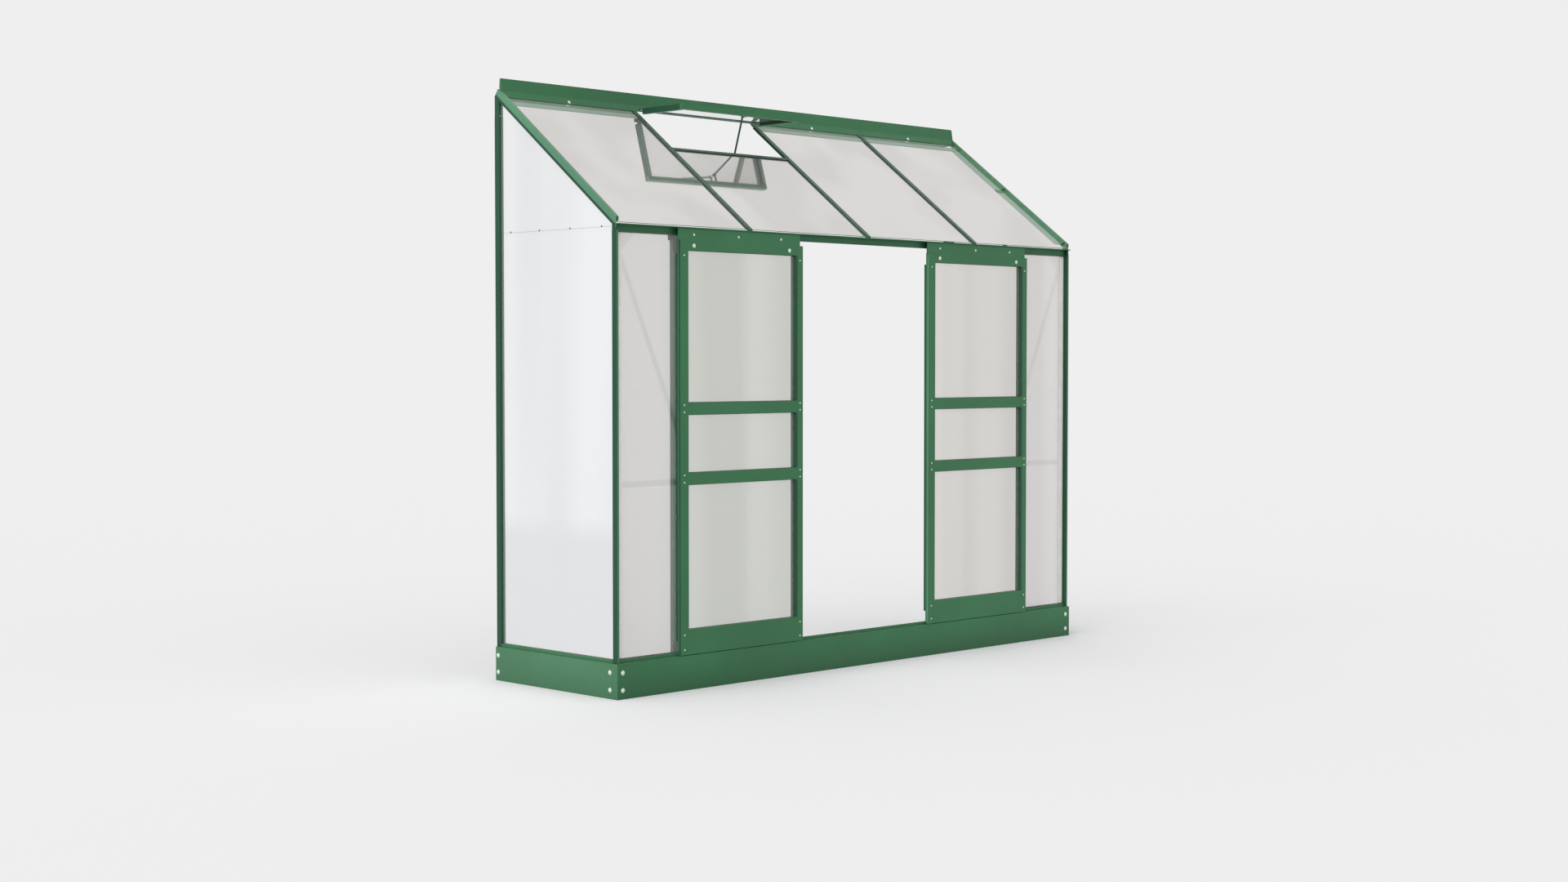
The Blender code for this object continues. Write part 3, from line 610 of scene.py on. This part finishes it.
def pane_levels(door):
    """Heights of the lower and upper edges of a door's three openings."""
    levels = [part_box(f"{door}_kick_plate")[1][2]]
    for rail in ("lower_rail", "upper_rail"):
        levels += [corner[2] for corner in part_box(f"{door}_{rail}")]
    levels.append(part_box(f"{door}_header")[0][2])
    return list(zip(levels[::2], levels[1::2]))


def door_seals(door):
    """Seal round each door pane, where it meets the rails."""
    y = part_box(f"{door}_pane_lower")[0][1] - GAP
    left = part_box(f"{door}_stile_left")[1][0] + GAP
    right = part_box(f"{door}_stile_right")[0][0] - GAP
    shape = bmesh.new()
    for foot, top in pane_levels(door):
        seal_loop(shape, y, (left, foot + GAP), (right, top - GAP), 0.0014, 0.0012)
    add_piece(f"{door}_seals", shape, door, "rubber", edge=0)


def door_shade_liners(door):
    """Thin liners of painted shade beside the panes, round the inner edge of the right stile."""
    right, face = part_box(f"{door}_stile_right")[0][:2]
    liner = ((-0.0012, -0.0006), (0.0105, -0.0006), (0.0105, -0.0001), (-0.0002, -0.0001),
             (-0.0002, 0.0094), (-0.0012, 0.0094))
    shape = bmesh.new()
    for foot, top in pane_levels(door):
        strut(shape, (right, face, foot + 0.0004), (right, face, top - 0.0004), (1, 0, 0), liner)
    add_piece(f"{door}_liners", shape, door, "shade", TRIM_EDGE)


def door_painted_edges(door, bead_painted_light):
    """A bead on the outer side of the left stile, painted shade on the left door and a painted
    highlight on the right, and a dark strip of painted shade behind it.
    """
    low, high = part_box(f"{door}_stile_left")
    shape = bmesh.new()
    block(shape, (low[0] - 0.0006, low[1] + 0.0005, low[2] + 0.002),
          (low[0] - 0.0001, low[1] + 0.0075, high[2] - 0.002))
    add_piece(f"{door}_bead", shape, door, bead_painted_light, TRIM_EDGE)
    shape = bmesh.new()
    block(shape, (low[0] + 0.0002, high[1] + GAP, 0.180),
          (low[0] + 0.0042, FRONT + 0.0174, 1.580))
    add_piece(f"{door}_painted_shade_strip", shape, door, "shade")


def front_seals():
    """Seals on the fixed front panes, and a pale flat gasket on each, beside its post."""
    seals, gaskets = bmesh.new(), bmesh.new()
    for side, name in SIDES:
        low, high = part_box(f"front_glass_{name}")
        y = low[1] - GAP
        seal_loop(seals, y, (low[0] + GAP, PANE_FOOT), (high[0] - GAP, PANE_TOP), 0.0015, 0.0015)
        near, far = sorted(end_x(side, e) for e in GASKET_SPAN)
        block(gaskets, (near, y - 0.0012, PANE_FOOT + 0.0022), (far, y, PANE_TOP - 0.0022))
    add_piece("front_seals", seals, "frame", "rubber", edge=0)
    add_piece("front_post_gaskets", gaskets, "frame", "gasket", 0.0002)


# ---- Roof and vent trim -----------------------------------------------------------------------
def bar_feet():
    """End pieces that close the glazing bars down to the eave."""
    outline = ((-0.0130, -0.0036), (0.0012, -0.0036), (0.0012, 0.0052), (-0.0130, 0.0052))
    shape = bmesh.new()
    for index in range(1, 4):
        ends = [roof_point(line_x(index) + reach, 0, 0) for reach in (-0.010, 0.010)]
        strut(shape, *ends, SLOPE_UP, outline)
    # In the shaded copy of the green paint: painted shade.
    add_piece("roof_bar_feet", shape, "frame", "shade", 0.0005)


def bar_heads():
    """Tees that carry the glazing bars up to the ridge.  Their ribs point inwards."""
    outline = ((-0.0100, -0.0052), (0.0100, -0.0052), (0.0100, -0.0008), (0.0022, -0.0008),
               (0.0022, 0.0053), (-0.0022, 0.0053), (-0.0022, -0.0008), (-0.0100, -0.0008))
    shape = bmesh.new()
    for index in range(1, 4):
        ends = [roof_point(line_x(index), s, 0) for s in (0.7803, 0.8040)]
        strut(shape, *ends, (1, 0, 0), outline)
    # In the shaded copy of the green paint: painted shade.
    add_piece("roof_bar_heads", shape, "frame", "shade")


def rafter_strip(name, side, outline, finish):
    """A strip inside an end rafter, in two lengths that stop 1 mm short of the brackets."""
    spans = ((0.026, BRACKET_S - 0.001),
             (BRACKET_S + BRACKET_LENGTH + 0.001, RIDGE_BRACKET_S - 0.001))
    shape = bmesh.new()
    for span in spans:
        ends = [roof_point(end_x(side, BESIDE_RAFTER), s, 0.0004) for s in span]
        strut(shape, *ends, (-side, 0, 0), handed(outline, side))
    add_piece(name, shape, "frame", finish)


def rafter_trim():
    """A thin strip of painted shade on the lower band outside each end rafter, a sloped bead inside
    it, and a flap on the right.
    """
    # The lip is a thin strip in the shaded paint: painted shade on the lower band of the rafter's
    # outer side.
    lip = ((-0.0206, -0.0002), (-0.0206, 0.0010), (-0.0108, 0.0010), (-0.0108, -0.0002))
    bead = ((0, 0), (0.0172, 0), (0.0172, 0.0010), (0.0006, 0.0120), (0, 0.0120))
    flap = ((0.0175, 0), (0.0610, 0), (0.0590, 0.0008), (0.0175, 0.0010))
    for side, name in SIDES:
        ends = [roof_point(end_x(side, 0), s, 0) for s in (-0.006, 0.842)]
        bar(f"rafter_shade_strip_{name}", ends, SLOPE_OUT, handed(lip, side), "shade")
        rafter_strip(f"rafter_bead_{name}", side, bead, "paint")
    rafter_strip("rafter_flap_right", 1, flap, "strip")


def vent_ends():
    """Caps on the ends of the vent's bottom rail."""
    low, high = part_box("vent_bottom_rail")
    shape = bmesh.new()
    for start, end in ((low[0] - 0.0016, low[0] - 0.0001), (high[0] + 0.0001, high[0] + 0.0016)):
        block(shape, (start, low[1], low[2]), (end, low[1] + 0.016, high[2]))
    add_piece("vent_end_caps", shape, "vent", "paint")


def vent_painted_light_liners():
    """Pale liners under the vent's side rails: painted light, a lit look for the rails' undersides.
    """
    shape = bmesh.new()
    for _, name in SIDES:
        low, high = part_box(f"vent_side_rail_{name}")
        block(shape, (low[0] + 0.0004, low[1] + 0.0020, low[2] - 0.0007),
              (high[0] - 0.0004, high[1] - 0.0020, low[2] - GAP))
    add_piece("vent_painted_light_liners", shape, "vent", "pale", TRIM_EDGE)


def ridge_ends():
    """End caps of the ridge, over the heads of the rafters."""
    crest = RIDGE_TOP - 0.0002
    outline = ((0.6535, 2.1880), (0.6610, crest), (0.6665, crest), (0.6695, 2.2000))
    for side, name in SIDES:
        ends = [(end_x(side, e), FRONT, 0) for e in (0.0072, 0.0130)]
        bar(f"ridge_end_{name}", ends, (0, 1, 0), handed(outline, -side), edge=0.0006)


def ridge_flaps():
    """Pale flaps on the heads of the full panes, below the ridge."""
    outline = ((0, 0.0004), (0.0270, 0.0004), (0.0270, 0.0012), (0, 0.0008))
    beside_bar, beside_end = 0.013, 0.031
    spans = ((end_x(-1, beside_end), line_x(1) - beside_bar),
             (line_x(2) + beside_bar, line_x(3) - beside_bar),
             (line_x(3) + beside_bar, end_x(1, beside_end)))
    shape = bmesh.new()
    for span in spans:
        strut(shape, *[roof_point(x, 0.753, 0) for x in span], SLOPE_UP, outline)
    add_piece("ridge_flaps", shape, "frame", "strip", TRIM_EDGE)


# ---- Post trim --------------------------------------------------------------------------------
def post_lit_strips():
    """Strips in the lit copy of the green paint on the narrow front faces of the front posts:
    painted light on the shaded posts.
    """
    shape = bmesh.new()
    for side, _ in SIDES:
        near, far = sorted(end_x(side, e) for e in (0.0008, 0.0080))
        block(shape, (near, FRONT - 0.0005, POST_FOOT + 0.001),
              (far, FRONT - 0.0001, POST_TOP - 0.001))
    add_piece("front_post_strips", shape, "frame", "side", TRIM_EDGE)


def rear_post_heads():
    """Plates that close the rear posts from the end of their flange up to the rafter."""
    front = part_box("post_rear_left")[0][1] + 0.0225
    for side, name in SIDES:
        shape = bmesh.new()
        near, far = sorted(end_x(side, e) for e in (0.0022, 0.0155))
        block(shape, (near, front, 2.0975), (far, front + 0.0018, 2.1600))
        # In the shaded copy of the green paint, like the posts: painted shade.
        add_piece(f"rear_post_head_{name}", shape, "frame", "shade")


def eave_ends():
    """Blocks that close the eave down onto the front posts, each with a wedge outside it."""
    foot, lip = POST_TOP + 0.0005, EAVE_TOP - 0.0035
    closer = ((-0.0115, lip), (-0.0115, EAVE_TOP), (0.0230, EAVE_TOP),
              (0.0230, foot), (0.0005, foot), (0.0005, lip))
    wedge = ((0.0005, foot), (0.0005, 1.6540), (0.0235, 1.6712), (0.0235, foot))
    for side, name in SIDES:
        shape = bmesh.new()
        for outline, span in ((closer, (0.0024, 0.0088)), (wedge, (0.0002, 0.0021))):
            ends = [(end_x(side, e), FRONT, 0) for e in span]
            strut(shape, *ends, (0, 1, 0), handed(outline, -side))
        # In the shaded copy of the green paint: painted shade.
        add_piece(f"eave_end_{name}", shape, "frame", "shade")


# ---- Studio and camera ------------------------------------------------------------------------
def backdrop():
    """An even pale world."""
    world = bpy.data.worlds.new("studio")
    world.use_nodes = True
    world.node_tree.nodes["Background"].inputs["Color"].default_value = (*BACKDROP, 1)
    bpy.context.scene.world = world


def studio_floor():
    """Matt pale floor that meets the backdrop far behind the object."""
    shape = bmesh.new()
    bmesh.ops.create_grid(shape, x_segments=1, y_segments=1, size=60)
    mesh = bpy.data.meshes.new("floor")
    shape.to_mesh(mesh)
    shape.free()
    shader = Shader("floor", FLOOR, 1.0)
    shader.set("Specular IOR Level", 0.0)
    mesh.materials.append(shader.material)
    floor = bpy.data.objects.new("floor", mesh)
    bpy.context.scene.collection.objects.link(floor)


def soft_light():
    """One broad soft light from the left."""
    light = bpy.data.lights.new("soft_key", "SUN")
    light.energy = 2.1
    light.angle = math.radians(70)
    lamp = bpy.data.objects.new("soft_key", light)
    lamp.matrix_world = toward(LIGHT_FROM)
    bpy.context.scene.collection.objects.link(lamp)


def camera():
    """The view from the front left, just above half the height."""
    data = bpy.data.cameras.new("camera")
    data.lens = 50.0
    data.sensor_width = 36.0
    data.clip_end = 200
    eye = bpy.data.objects.new("camera", data)
    eye.location = CAMERA_AT
    eye.rotation_euler = (math.pi / 2 - CAMERA_PITCH, 0, -CAMERA_YAW)
    bpy.context.scene.collection.objects.link(eye)
    bpy.context.scene.camera = eye


def build():
    """Dress the CAD frame, add the small pieces, and set up the studio."""
    dress_frame()
    front_bracing()
    gable_bracing()
    rafter_brackets()
    fixings("frame_fixings", "frame", frame_spots())
    fixings("gable_fixings", "frame", gable_spots(), "paint")
    fixings("vent_fixings", "vent", vent_spots(), "paint")
    # Bead of each door's left stile: painted shade on the left door, painted highlight on the
    # right.
    for door, bead_painted_light in zip(DOORS, ("shade", "pale")):
        fixings(f"{door}_fixings", door, door_spots(door))
        door_seals(door)
        door_shade_liners(door)
        door_painted_edges(door, bead_painted_light)
    front_seals()
    bar_feet()
    bar_heads()
    rafter_trim()
    vent_ends()
    vent_painted_light_liners()
    ridge_ends()
    ridge_flaps()
    post_lit_strips()
    rear_post_heads()
    eave_ends()
    backdrop()
    studio_floor()
    soft_light()
    camera()
    bpy.context.scene.view_settings.view_transform = "Standard"


build()
bpy.context.view_layer.update()
